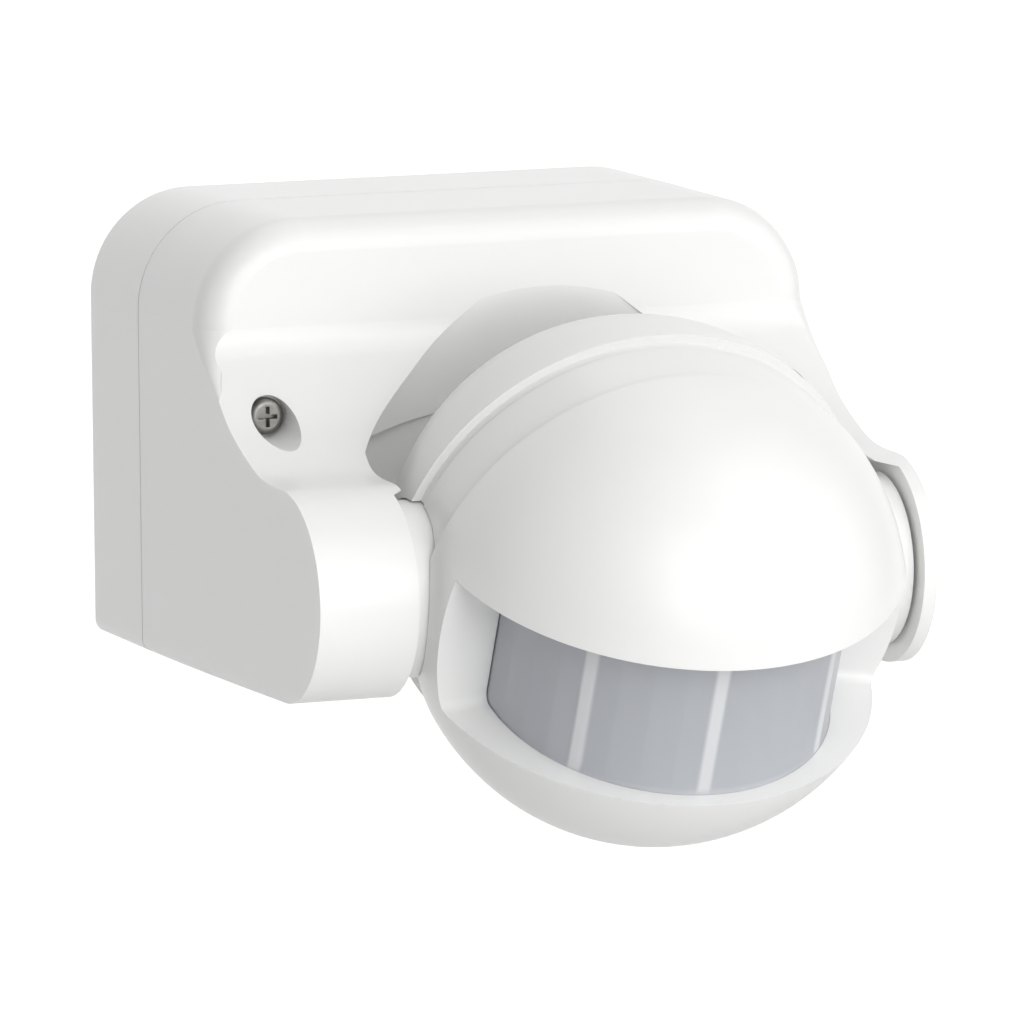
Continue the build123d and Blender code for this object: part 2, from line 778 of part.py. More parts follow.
with BuildPart() as window_cut:
    # between the hood and the gently sloping ledge
    far_ahead = 80
    with BuildSketch(side.offset(-50)):
        with BuildLine():
            Polyline(
                (window_wall_back, ledge_rear),
                (far_ahead, ledge_rear - (far_ahead - window_wall_back) * ledge_slope),
                (far_ahead, window_top),
                (window_wall_back, window_top),
                close=True,
            )
        make_face()
    extrude(amount=100)
    # in front of the two slanted cheeks
    with BuildSketch(deck.offset(-50)):
        with BuildLine():
            cheek_end = cheek_start + (60 - drum_r) * cheek_slope
            Polyline(
                (-60, cheek_end), (-drum_r, cheek_start), (drum_r, cheek_start), (60, cheek_end),
                (60, far_ahead), (-60, far_ahead), close=True,
            )
        make_face()
    extrude(amount=100, mode=Mode.INTERSECT)
    cheek_feet = window_cut.edges().filter_by(lambda e: abs(e.tangent_at(0.5).X) > 0.9)
    fillet(cheek_feet.filter_by(lambda e: is_cheek_foot(e.center())), cheek_foot_r)
    # pocket for the lens
    with BuildSketch(deck.offset(-window_top)):
        with Locations((0, drum_centre)):
            Circle(drum_r)
    extrude(amount=window_top - lens_floor)
    with BuildSketch(side.offset(-50)):
        with Locations((parting - 2, lens_floor - 1)):
            Rectangle(
                window_wall_back - parting + 2, window_top - lens_floor + 2, align=(Align.MIN, Align.MIN)
            )
    extrude(amount=100, mode=Mode.SUBTRACT)

well_width = 33.0
well_depth = 11.5
with BuildPart() as knob_well:
    with BuildSketch(deck.offset(shell_floor)):
        with Locations((0, knob_row)):
            SlotOverall(well_width, well_depth)
    extrude(amount=12)

with BuildPart() as front_hollow:
    with BuildSketch(face.offset(parting - 1)):
        Circle(head_r * 2)
    extrude(amount=80)
    add(head_interior.part, mode=Mode.INTERSECT)
    add(window_walls.part, mode=Mode.SUBTRACT)
    # floor over the knob well
    with BuildSketch(deck.offset(shell_floor - 2)):
        with Locations((0, knob_row)):
            SlotOverall(well_width + 4, well_depth + 4)
    extrude(amount=20, mode=Mode.SUBTRACT)

control_post_spots = [(-5.5, 16.0), (5.5, 16.0)]
board_post_spots = [(-25.5, 7.0), (25.5, 7.0), (-25.5, -4.0), (25.5, -4.0)]
sensor_board_back = 7.0
sensor_board_front = 8.2
control_board_low = 20.5
control_board_high = 19.3

with BuildPart() as head_front_shell:
    add(head_front_envelope.part)
    add(front_hollow.part, mode=Mode.SUBTRACT)
    # pillars that the head screws bite into
    with BuildSketch(face.offset(parting)):
        with Locations(*head_screw_spots[1:]):
            Circle(3.2)
    extrude(amount=window_wall_back - parting + 0.5)
    with BuildSketch(face.offset(parting)):
        with Locations(head_screw_spots[0]):
            Circle(3.2)
    extrude(amount=38)
    # posts behind the cheeks for the sensor board
    with BuildSketch(face.offset(sensor_board_front)):
        with Locations(*board_post_spots):
            Circle(2.15)
    extrude(amount=window_wall_back - sensor_board_front + 0.5)
    # posts under the control board
    with BuildSketch(deck.offset(control_board_low)):
        with Locations(*control_post_spots):
            Circle(1.9)
    extrude(amount=10)
    # keep the pillars inside the shell's own skin
    add(head_front_envelope.part, mode=Mode.INTERSECT)
    add(window_cut.part, mode=Mode.SUBTRACT)
    add(knob_well.part, mode=Mode.SUBTRACT)
    add(hub_sockets.part, mode=Mode.SUBTRACT)
    # pilot holes
    with BuildSketch(face.offset(parting)):
        with Locations(*head_screw_spots):
            Circle(1.12)
    extrude(amount=10, mode=Mode.SUBTRACT)
    with BuildSketch(face.offset(sensor_board_front)):
        with Locations(*board_post_spots):
            Circle(0.92)
    extrude(amount=3.9, mode=Mode.SUBTRACT)
    with BuildSketch(deck.offset(control_board_low)):
        with Locations(*control_post_spots):
            Circle(0.92)
    extrude(amount=4.5, mode=Mode.SUBTRACT)
    # spindle holes of the three knobs
    with BuildSketch(deck.offset(shell_floor - 4)):
        with Locations((0, knob_row)):
            with GridLocations(knob_pitch, 1, 3, 1):
                Circle(1.6)
    extrude(amount=6, mode=Mode.SUBTRACT)
finish(head_front_shell, "head_front_shell")
with BuildPart() as head_screws:
    with BuildSketch(face.offset(head_screw_seat)):
        with Locations(*head_screw_spots):
            Circle(2.1)
    extrude(amount=-1.5)
    with BuildSketch(face.offset(head_screw_seat)):
        with Locations(*head_screw_spots):
            Circle(1.1)
    extrude(amount=16)
    with BuildSketch(face.offset(head_screw_seat - 0.7)):
        with Locations(*head_screw_spots):
            Rectangle(2.4, 0.5)
            Rectangle(0.5, 2.4)
    extrude(amount=-2, mode=Mode.SUBTRACT)
finish(head_screws, "head_screws")

# ================================================================ hubs of the tilting head
flange_top_x = 29.1
left_flange_x = 36.2
right_flange_x = 37.4
left_shaft_x = 41.0
right_shaft_x = 39.8
groove_x = 39.2
groove_width = 0.9
groove_r = 5.1
washer_thickness = 0.5


def hub_disc(plane, radius, near, far):
    """A disc round the pivot axis from near to far, measured along the plane's own normal."""
    with BuildSketch(plane.offset(near)) as disc:
        Circle(radius)
    return extrude(disc.sketch, amount=far - near)


left = side
right = Plane(origin=pivot, x_dir=forward, z_dir=(1, 0, 0))

with BuildPart() as left_hub:
    hub_disc(left, flange_r, seat_inner_x, flange_top_x)
    hub_disc(left, neck_r, flange_top_x, seat_x + 0.1)
    hub_disc(left, hub_r, seat_x + 0.1, left_flange_x)
    hub_disc(left, left_shaft_r, left_flange_x, left_shaft_x)
    # groove for the snap ring
    with BuildSketch(left.offset(groove_x)):
        Circle(left_shaft_r + 1)
        Circle(groove_r, mode=Mode.SUBTRACT)
    extrude(amount=groove_width, mode=Mode.SUBTRACT)
    # passage for the wires
    with BuildSketch(left.offset(seat_inner_x - 1)):
        Circle(3.5)
    extrude(amount=16, mode=Mode.SUBTRACT)
finish(left_hub, "left_hub")

with BuildPart() as right_hub:
    hub_disc(right, flange_r, seat_inner_x, flange_top_x)
    hub_disc(right, neck_r, flange_top_x, seat_x + 0.1)
    hub_disc(right, hub_r, seat_x + 0.1, right_flange_x)
    hub_disc(right, right_shaft_r, right_flange_x, right_shaft_x)
finish(right_hub, "right_hub")

with BuildPart() as hub_snap_ring:
    with BuildSketch(left.offset(groove_x + 0.05)):
        Circle(8.5)
        Circle(groove_r + 0.05, mode=Mode.SUBTRACT)
        # the gap that lets the ring spring open
        with Locations((0, -7)):
            Rectangle(3.2, 8, mode=Mode.SUBTRACT)
    extrude(amount=groove_width - 0.1)
finish(hub_snap_ring, "hub_snap_ring")

with BuildPart() as left_hub_washer:
    with BuildSketch(left.offset(left_flange_x + 0.05)):
        Circle(10.0)
        Circle(left_shaft_r + 0.3, mode=Mode.SUBTRACT)
    extrude(amount=washer_thickness)
finish(left_hub_washer, "left_hub_washer")

with BuildPart() as right_hub_washer:
    with BuildSketch(right.offset(right_flange_x + 0.05)):
        Circle(9.5)
        Circle(right_shaft_r + 0.3, mode=Mode.SUBTRACT)
    extrude(amount=washer_thickness)
finish(right_hub_washer, "right_hub_washer")

# ================================================================ lens and its frame
lens_turn = 93
post_turns = (-46.5, 0, 46.5)
glass_low = -lens_floor - 0.1
glass_high = -window_top + 0.1
retainer_outer_r = 23.9
retainer_inner_r = 22.5
rail = 2.2


def arc_band(level, outer_r, inner_r, start_turn, end_turn):
    """A band bent round the lens centre between two angles, in degrees off straight ahead."""
    middle = (start_turn + end_turn) / 2

    def spot(radius, turn):
        return (radius * sin(radians(turn)), drum_centre + radius * cos(radians(turn)))

    with BuildSketch(deck.offset(level)) as band:
        with BuildLine():
            for radius in (outer_r, inner_r):
                ThreePointArc(spot(radius, start_turn), spot(radius, middle), spot(radius, end_turn))
            for turn in (start_turn, end_turn):
                Line(spot(inner_r, turn), spot(outer_r, turn))
        make_face()
    return band.sketch


with BuildPart() as lens:
    lens_band = arc_band(glass_high, lens_r, lens_r - lens_thickness, -lens_turn, lens_turn)
    extrude(lens_band, amount=glass_low - glass_high)
finish(lens, "lens")

with BuildPart() as lens_retainer:
    frame_band = arc_band(glass_high, retainer_outer_r, retainer_inner_r, -lens_turn, lens_turn)
    extrude(frame_band, amount=glass_low - glass_high)
    stops = (-lens_turn + 4, *post_turns, lens_turn - 4)
    for start_turn, end_turn in zip(stops[:-1], stops[1:]):
        opening = arc_band(glass_high + rail, retainer_outer_r + 1, retainer_inner_r - 1,
                           start_turn + 1.7, end_turn - 1.7)
        extrude(opening, amount=glass_low - glass_high - 2 * rail, mode=Mode.SUBTRACT)
finish(lens_retainer, "lens_retainer")

# ================================================================ sensor board
pir_w = -0.7
with BuildPart() as sensor_board:
    with BuildSketch(face.offset(sensor_board_back)):
        with Locations((0, 1.5)):
            Rectangle(54, 19)
        with Locations(*board_post_spots):
            Circle(1.1, mode=Mode.SUBTRACT)
    extrude(amount=sensor_board_front - sensor_board_back)
finish(sensor_board, "sensor_board")

with BuildPart() as sensor_board_screws:
    with BuildSketch(face.offset(sensor_board_back)):
        with Locations(*board_post_spots):
            Circle(1.8)
    extrude(amount=-1.3)
    with BuildSketch(face.offset(sensor_board_back)):
        with Locations(*board_post_spots):
            Circle(0.9)
    extrude(amount=4.6)
    with BuildSketch(face.offset(sensor_board_back - 0.6)):
        with Locations(*board_post_spots):
            Rectangle(2.0, 0.45)
            Rectangle(0.45, 2.0)
    extrude(amount=-2, mode=Mode.SUBTRACT)
finish(sensor_board_screws, "sensor_board_screws")

with BuildPart() as pir_sensor:
    with BuildSketch(face.offset(sensor_board_front)):
        with Locations((0, pir_w)):
            Circle(4.6)
    extrude(amount=0.6)
    with BuildSketch(face.offset(sensor_board_front)):
        with Locations((0, pir_w)):
            Circle(4.1)
    extrude(amount=4.0)
    with BuildSketch(face.offset(sensor_board_front + 3.7)):
        with Locations((0, pir_w)):
            Rectangle(4.0, 3.0)
    extrude(amount=1, mode=Mode.SUBTRACT)
finish(pir_sensor, "pir_sensor")

with BuildPart() as pir_filter:
    with BuildSketch(face.offset(sensor_board_front + 3.7)):
        with Locations((0, pir_w)):
            Rectangle(3.96, 2.96)
    extrude(amount=0.25)
finish(pir_filter, "pir_filter")

with BuildPart() as light_cell:
    with BuildSketch(face.offset(sensor_board_front)):
        with Locations((9.0, 6.0)):
            Circle(2.5)
    extrude(amount=2.0)
    fillet(light_cell.edges().group_by(head_axis)[-1], 0.4)
finish(light_cell, "light_cell")

with BuildPart() as status_lamp:
    with BuildSketch(face.offset(sensor_board_front)):
        with Locations((-9.0, 6.0)):
            Circle(1.75)
    extrude(amount=0.8)
    with BuildSketch(face.offset(sensor_board_front)):
        with Locations((-9.0, 6.0)):
            Circle(1.5)
    extrude(amount=2.6)
    with Locations(face.from_local_coords((-9.0, 6.0, sensor_board_front + 2.6))):
        Sphere(1.5)
finish(status_lamp, "status_lamp")

socket_x = -9.0
with BuildPart() as sensor_socket:
    with BuildSketch(face.offset(sensor_board_back)):
        with Locations((socket_x, 0)):
            Rectangle(7.4, 5.4)
    extrude(amount=-5)
finish(sensor_socket, "sensor_socket")

# ================================================================ control board and knobs
with BuildPart() as control_board:
    with BuildSketch(deck.offset(control_board_high)):
        with Locations((0, 10.25)):
            Rectangle(33, 16.5)
        with Locations(*control_post_spots):
            Circle(1.1, mode=Mode.SUBTRACT)
    extrude(amount=control_board_low - control_board_high)
finish(control_board, "control_board")

with BuildPart() as control_board_screws:
    with BuildSketch(deck.offset(control_board_high)):
        with Locations(*control_post_spots):
            Circle(1.8)
    extrude(amount=-1.3)
    with BuildSketch(deck.offset(control_board_high)):
        with Locations(*control_post_spots):
            Circle(0.9)
    extrude(amount=5)
    with BuildSketch(deck.offset(control_board_high - 0.6)):
        with Locations(*control_post_spots):
            Rectangle(2.0, 0.45)
            Rectangle(0.45, 2.0)
    extrude(amount=-2, mode=Mode.SUBTRACT)
finish(control_board_screws, "control_board_screws")

adjuster_depth = 4.8
spindle_r = 1.55
with BuildPart() as adjusters:
    with BuildSketch(deck.offset(control_board_low)):
        with Locations((0, knob_row)):
            with GridLocations(knob_pitch, 1, 3, 1):
                RectangleRounded(9.6, 9.6, 0.5)
                Circle(spindle_r + running_gap, mode=Mode.SUBTRACT)
    extrude(amount=adjuster_depth)
finish(adjusters, "adjusters")

knob_bottom = shell_floor + 0.3
knob_face = 30.7
knob_r = 4.0


def knob_at(x):
    """A setting knob with its spindle; the slot across its face lies along X."""
    with BuildPart() as knob:
        with BuildSketch(deck.offset(knob_bottom)):
            with Locations((x, knob_row)):
                Circle(knob_r)
        extrude(amount=knob_face - knob_bottom)
        # finger grooves round the rim
        with BuildSketch(deck.offset(knob_bottom + 0.6)):
            with Locations((x, knob_row)):
                with PolarLocations(knob_r + 0.15, 12):
                    Circle(0.45)
        extrude(amount=8, mode=Mode.SUBTRACT)
        with BuildSketch(deck.offset(knob_face - 0.9)):
            with Locations((x, knob_row)):
                Rectangle(5.4, 1.1)
            # pointer notch
            with Locations((x, knob_row + 2.4)):
                Rectangle(1.1, 2.0)
        extrude(amount=2, mode=Mode.SUBTRACT)
        with BuildSketch(deck.offset(control_board_low + 0.6)):
            with Locations((x, knob_row)):
                Circle(spindle_r)
        extrude(amount=knob_bottom - control_board_low - 0.6)
    return knob


finish(knob_at(-knob_pitch), "time_knob")
finish(knob_at(0), "light_knob")
finish(knob_at(knob_pitch), "range_knob")

# ================================================================ wiring between base and head
sleeve_r = 1.5
sleeve_split_x = -31.3

with BuildPart() as harness_base:
    with BuildLine():
        FilletPolyline(
            (header_x, -board_front - header_height, header_z), (header_x, -28, header_z), (-37.5, -33, -8),
            (-37.5, -66, -14), (-37.5, -pivot_reach, pivot_z), (sleeve_split_x, -pivot_reach, pivot_z),
            radius=2.6,
        )
    with BuildSketch(Plane.XZ.offset(board_front + 6)):
        with Locations((header_x, header_z)):
            Circle(sleeve_r)
    sweep()
finish(harness_base, "harness_base")

with BuildPart() as harness_head:
    with BuildLine():
        FilletPolyline(
            face.from_local_coords((socket_x, 0, sensor_board_back - 5)),
            face.from_local_coords((socket_x, 0, -9)),
            face.from_local_coords((-20, 0, 0)),
            (sleeve_split_x + 0.1, -pivot_reach, pivot_z),
            radius=2.6,
        )
    with BuildSketch(face.offset(sensor_board_back - 5)):
        with Locations((socket_x, 0)):
            Circle(sleeve_r)
    sweep()
finish(harness_head, "harness_head")
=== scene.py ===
import json
from math import atan2, cos, degrees, pi, radians, sin

import bpy
from mathutils import Matrix, Vector


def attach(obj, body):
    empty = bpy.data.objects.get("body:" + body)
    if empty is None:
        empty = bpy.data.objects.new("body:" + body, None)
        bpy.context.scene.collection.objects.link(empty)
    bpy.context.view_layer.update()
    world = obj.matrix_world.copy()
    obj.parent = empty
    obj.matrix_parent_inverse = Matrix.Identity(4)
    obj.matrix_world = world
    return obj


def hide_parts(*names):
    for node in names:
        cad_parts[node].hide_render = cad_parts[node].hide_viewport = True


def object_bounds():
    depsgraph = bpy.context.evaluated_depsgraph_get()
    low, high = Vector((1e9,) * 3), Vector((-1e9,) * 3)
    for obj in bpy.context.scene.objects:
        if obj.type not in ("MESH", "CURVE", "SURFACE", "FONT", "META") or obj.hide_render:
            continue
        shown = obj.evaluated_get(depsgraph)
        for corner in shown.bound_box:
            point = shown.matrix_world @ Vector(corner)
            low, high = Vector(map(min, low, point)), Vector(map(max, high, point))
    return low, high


# Looks of the wall-mounted motion sensor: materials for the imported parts, a detailed lens,
# a pale floor that turns up into a backdrop, soft studio light and the camera.
# Metres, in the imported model's frame: +X right, +Y into the wall, +Z up.

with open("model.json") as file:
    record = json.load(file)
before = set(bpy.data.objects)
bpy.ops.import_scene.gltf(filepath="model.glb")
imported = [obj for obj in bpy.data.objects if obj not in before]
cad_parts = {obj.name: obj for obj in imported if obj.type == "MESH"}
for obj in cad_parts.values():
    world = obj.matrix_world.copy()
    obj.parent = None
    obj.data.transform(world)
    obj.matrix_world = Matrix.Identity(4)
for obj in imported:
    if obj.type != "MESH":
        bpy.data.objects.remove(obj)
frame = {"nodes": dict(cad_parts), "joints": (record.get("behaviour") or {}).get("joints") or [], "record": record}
nodes = frame["nodes"]
cad_low, cad_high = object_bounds()

MM = 0.001

# ---------------------------------------------------------------- the tilting head's own frame
tilt_joint = next(j for j in frame["joints"] if j["name"] == "head_tilt")
# how far the head's own forward direction points down at rest
HEAD_TILT = radians(24)
PIVOT = Vector(tilt_joint["pos_m"])
FORWARD = Vector((0, -cos(HEAD_TILT), -sin(HEAD_TILT)))
UPWARD = Vector((0, -sin(HEAD_TILT), cos(HEAD_TILT)))
RIGHT = Vector((1, 0, 0))


def head_point(x, ahead, up):
    """A point of the head, in metres to the right of, ahead of and above its pivot."""
    return PIVOT + RIGHT * x + FORWARD * ahead + UPWARD * up


def in_head(point):
    """The reverse of head_point: how far a point is to the right of, ahead of and above the pivot."""
    spot = point - PIVOT
    return Vector((spot.dot(RIGHT), spot.dot(FORWARD), spot.dot(UPWARD)))


# ---------------------------------------------------------------- small helpers for node materials
# the Mix node's sockets for colours, which share their names with its sockets for numbers
MIX_FACTOR = 0
MIX_COLOUR_A = 6
MIX_COLOUR_B = 7
MIX_COLOUR_OUT = 2
NOISE_ROUGHNESS = 0.55


class Nodes:
    """Builds one material's node tree, with one short call for each node."""

    def __init__(self, name):
        self.material = bpy.data.materials.new(name)
        self.material.use_nodes = True
        self.tree = self.material.node_tree
        self.shader = self.tree.nodes["Principled BSDF"]

    def add(self, kind, **inputs):
        node = self.tree.nodes.new(kind)
        for key, value in inputs.items():
            node.inputs[key.replace("_", " ")].default_value = value
        return node

    def link(self, out, into):
        self.tree.links.new(out, into)

    def set(self, **inputs):
        for key, value in inputs.items():
            self.shader.inputs[key.replace("_", " ")].default_value = value

    def noise(self, scale, detail=3.0):
        """Noise over the object's own coordinates, in cycles a metre."""
        place = self.add("ShaderNodeTexCoord")
        noise = self.add("ShaderNodeTexNoise", Scale=scale, Detail=detail, Roughness=NOISE_ROUGHNESS)
        self.link(place.outputs["Object"], noise.inputs["Vector"])
        return noise.outputs["Fac"]

    def range(self, value, low, high, start=0.15, end=0.85):
        """Maps a value from start..end to low..high."""
        ramp = self.add("ShaderNodeMapRange")
        for key, number in (("From Min", start), ("From Max", end), ("To Min", low), ("To Max", high)):
            ramp.inputs[key].default_value = number
        self.link(value, ramp.inputs["Value"])
        return ramp.outputs["Result"]

    def mix(self, factor, first, second):
        """A colour between two colours."""
        mix = self.add("ShaderNodeMix")
        mix.data_type = "RGBA"
        for index, value in ((MIX_COLOUR_A, first), (MIX_COLOUR_B, second)):
            if isinstance(value, tuple):
                mix.inputs[index].default_value = (*value, 1)
            else:
                self.link(value, mix.inputs[index])
        self.link(factor, mix.inputs[MIX_FACTOR])
        return mix.outputs[MIX_COLOUR_OUT]

    def base_colour(self, colour):
        self.link(colour, self.shader.inputs["Base Color"])

    def roughness(self, value, low, high):
        """Lets the roughness wander from low to high."""
        self.link(self.range(value, low, high), self.shader.inputs["Roughness"])

    def bump(self, *layers):
        """Bumps the surface by (height, depth in metres) layers, one on top of the other."""
        normal = None
        for height, depth in layers:
            bump = self.add("ShaderNodeBump", Strength=1.0, Distance=depth)
            self.link(height, bump.inputs["Height"])
            if normal is not None:
                self.link(normal, bump.inputs["Normal"])
            normal = bump.outputs["Normal"]
        self.link(normal, self.shader.inputs["Normal"])


PLASTIC_DRIFT_SCALE = 35
PLASTIC_GLOSS_SCALE = 60
PLASTIC_GRAIN_SCALE = 1800
PLASTIC_GLOSS_SPREAD = 0.05
PLASTIC_TINT = 0.008
PLASTIC_IOR = 1.49
# how far red, green and blue light wander inside white plastic, in metres
PLASTIC_DEPTHS = (0.004, 0.0036, 0.0032)


def plastic(name, colour, rough, grain=0.0, glow=0.0):
    """Moulded plastic: slow colour drift, a little unevenness in the gloss, and grain where asked for."""
    n = Nodes(name)
    drift = n.noise(PLASTIC_DRIFT_SCALE, detail=2)
    darker = tuple(c * (1 - PLASTIC_TINT) for c in colour)
    n.base_colour(n.mix(n.range(drift, 0, 1), darker, colour))
    gloss = n.noise(PLASTIC_GLOSS_SCALE, detail=2)
    n.roughness(gloss, rough * (1 - PLASTIC_GLOSS_SPREAD), rough * (1 + PLASTIC_GLOSS_SPREAD))
    if grain:
        n.bump((n.noise(PLASTIC_GRAIN_SCALE, detail=2), grain))
    n.set(Specular_IOR_Level=0.5, IOR=PLASTIC_IOR)
    if glow:
        n.set(Subsurface_Weight=glow, Subsurface_Radius=PLASTIC_DEPTHS, Subsurface_Scale=1.0)
    return n.material


METAL_FINE_SCALE = 900
METAL_SPOT_SCALE = 360
METAL_DULLING = 0.72
METAL_SMOOTHEST = 0.7
METAL_ROUGHEST = 1.4
METAL_SPOT_START = 0.42
METAL_SPOT_END = 0.66
METAL_BUMP = 0.00001


def metal(name, colour, rough):
    """Plated or bare metal with a fine uneven gloss and small dull spots."""
    n = Nodes(name)
    spots = n.noise(METAL_SPOT_SCALE, detail=5)
    dull = tuple(c * METAL_DULLING for c in colour)
    n.base_colour(n.mix(n.range(spots, 0, 1, METAL_SPOT_START, METAL_SPOT_END), colour, dull))
    fine = n.noise(METAL_FINE_SCALE, detail=4)
    n.roughness(fine, rough * METAL_SMOOTHEST, rough * METAL_ROUGHEST)
    n.bump((fine, METAL_BUMP))
    n.set(Metallic=1.0)
    return n.material


RUBBER_BLOOM_SCALE = 220
RUBBER_GRAIN_SCALE = 1800
RUBBER_GRAIN = 0.00002
RUBBER_BLOOM_START = 0.45
RUBBER_BLOOM_END = 0.75
RUBBER_BLOOM_GAIN = 1.7
RUBBER_BLOOM_LIFT = 0.01
RUBBER_SMOOTHEST = 0.62
RUBBER_ROUGHEST = 0.85


def rubber(name, colour):
    """Dull soft rubber with a powdery bloom."""
    n = Nodes(name)
    bloom = n.noise(RUBBER_BLOOM_SCALE, detail=5)
    paler = tuple(c * RUBBER_BLOOM_GAIN + RUBBER_BLOOM_LIFT for c in colour)
    n.base_colour(n.mix(n.range(bloom, 0, 1, RUBBER_BLOOM_START, RUBBER_BLOOM_END), colour, paler))
    n.roughness(bloom, RUBBER_SMOOTHEST, RUBBER_ROUGHEST)
    n.bump((n.noise(RUBBER_GRAIN_SCALE, detail=3), RUBBER_GRAIN))
    n.set(Specular_IOR_Level=0.35)
    return n.material


RESIST_DARK = (0.012, 0.10, 0.035)
RESIST_LIGHT = (0.018, 0.14, 0.05)
RESIST_ON_TRACK = (0.05, 0.25, 0.09)
RESIST_DRIFT_SCALE = 300
RESIST_GLOSS_SCALE = 500
RESIST_SMOOTHEST = 0.25
RESIST_ROUGHEST = 0.4
TRACK_SCALE = 130.0
TRACK_HEIGHT = 0.00003
WEAVE_SCALE = 2500
WEAVE_HEIGHT = 0.000008


def board(name):
    """Green solder resist with pale tracks showing through and glass weave under it."""
    n = Nodes(name)
    place = n.add("ShaderNodeTexCoord")
    tracks = n.add("ShaderNodeTexBrick", Scale=TRACK_SCALE, Mortar_Size=0.03, Mortar_Smooth=0.4)
    n.link(place.outputs["Object"], tracks.inputs["Vector"])
    drift = n.noise(RESIST_DRIFT_SCALE, detail=4)
    base = n.mix(n.range(drift, 0, 1), RESIST_DARK, RESIST_LIGHT)
    n.base_colour(n.mix(tracks.outputs["Fac"], base, RESIST_ON_TRACK))
    n.roughness(n.noise(RESIST_GLOSS_SCALE), RESIST_SMOOTHEST, RESIST_ROUGHEST)
    n.bump((tracks.outputs["Fac"], TRACK_HEIGHT), (n.noise(WEAVE_SCALE), WEAVE_HEIGHT))
    return n.material


LENS_DARK = (0.465, 0.485, 0.525)
LENS_LIGHT = (0.48, 0.50, 0.54)
# colour of the painted highlight on the lens ribs and rims
LENS_PAINTED_HIGHLIGHT = (0.74, 0.76, 0.79)
LENS_DEPTHS = (0.003, 0.0033, 0.0038)
LENS_CLOUD_SCALE = 25
LENS_GLOSS_SCALE = 30
LENS_SMOOTHEST = 0.29
LENS_ROUGHEST = 0.33


def lens_material(name):
    """Milky moulded lens: pale blue-grey and satin, with a painted highlight that makes it lighter where the mesh
    marks the ribs and rims.
    """
    n = Nodes(name)
    cloud = n.noise(LENS_CLOUD_SCALE, detail=1)
    facet = n.mix(n.range(cloud, 0, 1), LENS_DARK, LENS_LIGHT)
    painted_highlight = n.add("ShaderNodeAttribute")
    painted_highlight.attribute_name = "painted_highlight"
    # painted highlight: the ribs and rims get the lighter colour
    n.base_colour(n.mix(painted_highlight.outputs["Fac"], facet, LENS_PAINTED_HIGHLIGHT))
    n.roughness(n.noise(LENS_GLOSS_SCALE, detail=1), LENS_SMOOTHEST, LENS_ROUGHEST)
    n.set(Specular_IOR_Level=0.5, IOR=1.52, Transmission_Weight=0.10, Coat_Weight=0.2, Coat_Roughness=0.15)
    n.set(Subsurface_Weight=0.25, Subsurface_Radius=LENS_DEPTHS, Subsurface_Scale=1.0)
    return n.material


WHITE = (0.82, 0.82, 0.81)
materials = {
    "white_shell": plastic("white_shell", WHITE, rough=0.29, glow=0.12),
    "hub_plastic": plastic("hub_plastic", WHITE, rough=0.26, glow=0.12),
    "lens_plastic": lens_material("lens_plastic"),
    "inner_plastic": plastic("inner_plastic", (0.09, 0.095, 0.10), rough=0.6),
    "knob_plastic": plastic("knob_plastic", (0.075, 0.078, 0.082), rough=0.5, grain=0.000006),
    "rubber": rubber("rubber", (0.022, 0.022, 0.022)),
    "zinc_steel": metal("zinc_steel", (0.24, 0.235, 0.22), rough=0.36),
    "spring_steel": metal("spring_steel", (0.28, 0.28, 0.29), rough=0.35),
    "circuit_board": board("circuit_board"),
    "relay_case": plastic("relay_case", (0.01, 0.045, 0.19), rough=0.32),
    "capacitor_case": plastic("capacitor_case", (0.30, 0.02, 0.012), rough=0.35),
    "can_sleeve": plastic("can_sleeve", (0.012, 0.012, 0.02), rough=0.25),
    "disc_coating": plastic("disc_coating", (0.02, 0.09, 0.26), rough=0.45, grain=0.00001),
    "terminal_plastic": plastic("terminal_plastic", (0.47, 0.48, 0.46), rough=0.5),
    "contact_brass": metal("contact_brass", (0.72, 0.52, 0.22), rough=0.28),
    "socket_plastic": plastic("socket_plastic", (0.62, 0.58, 0.48), rough=0.5),
    "adjuster_plastic": plastic("adjuster_plastic", (0.02, 0.05, 0.20), rough=0.45),
    "sensor_can": metal("sensor_can", (0.70, 0.69, 0.66), rough=0.2),
    "filter_window": plastic("filter_window", (0.012, 0.008, 0.012), rough=0.08),
    "cell_resin": plastic("cell_resin", (0.55, 0.22, 0.12), rough=0.2, glow=0.3),
    "lamp_resin": plastic("lamp_resin", (0.42, 0.012, 0.008), rough=0.12, glow=0.3),
    "sleeve_plastic": plastic("sleeve_plastic", (0.018, 0.018, 0.02), rough=0.45),
}

# edges sharper than this stay crisp
SMOOTH_ANGLE = radians(28)

for part in frame["record"]["subparts"]:
    node = nodes[part["node"]]
    node.data.materials.clear()
    node.data.materials.append(materials[part["material_slot"]])
    node.data.shade_smooth()
    node.data.set_sharp_from_angle(angle=SMOOTH_ANGLE)

# flat faces stay flat beside the soft rim of the recess
FLATTEN_WEIGHT = 80
flatten = nodes["front_cover"].modifiers.new("flatten", "WEIGHTED_NORMAL")
flatten.keep_sharp = True
flatten.weight = FLATTEN_WEIGHT

# ---------------------------------------------------------------- the lens
LENS_WALL = 0.8 * MM
LENS_EDGE = 0.15 * MM
# degrees round the drum, from straight ahead
RIB_TURNS = (-46.5, -4.0, 46.5)
FACET_WIDTH = 10.6
RIB_HALF_WIDTH = 2.7
COLUMN_STEP = 0.5
FACET_DROP = 0.10 * MM
RIM_HEIGHT = 1.3 * MM
RIM_BLEND = 0.5 * MM
# how strongly a highlight is painted onto the lens, from 0 on a facet to 1 on a rib
RIM_PAINTED_HIGHLIGHT = 0.55
RIB_PAINTED_HIGHLIGHT_GAIN = 1.4
RIB_CROWN_GAIN = 1.6


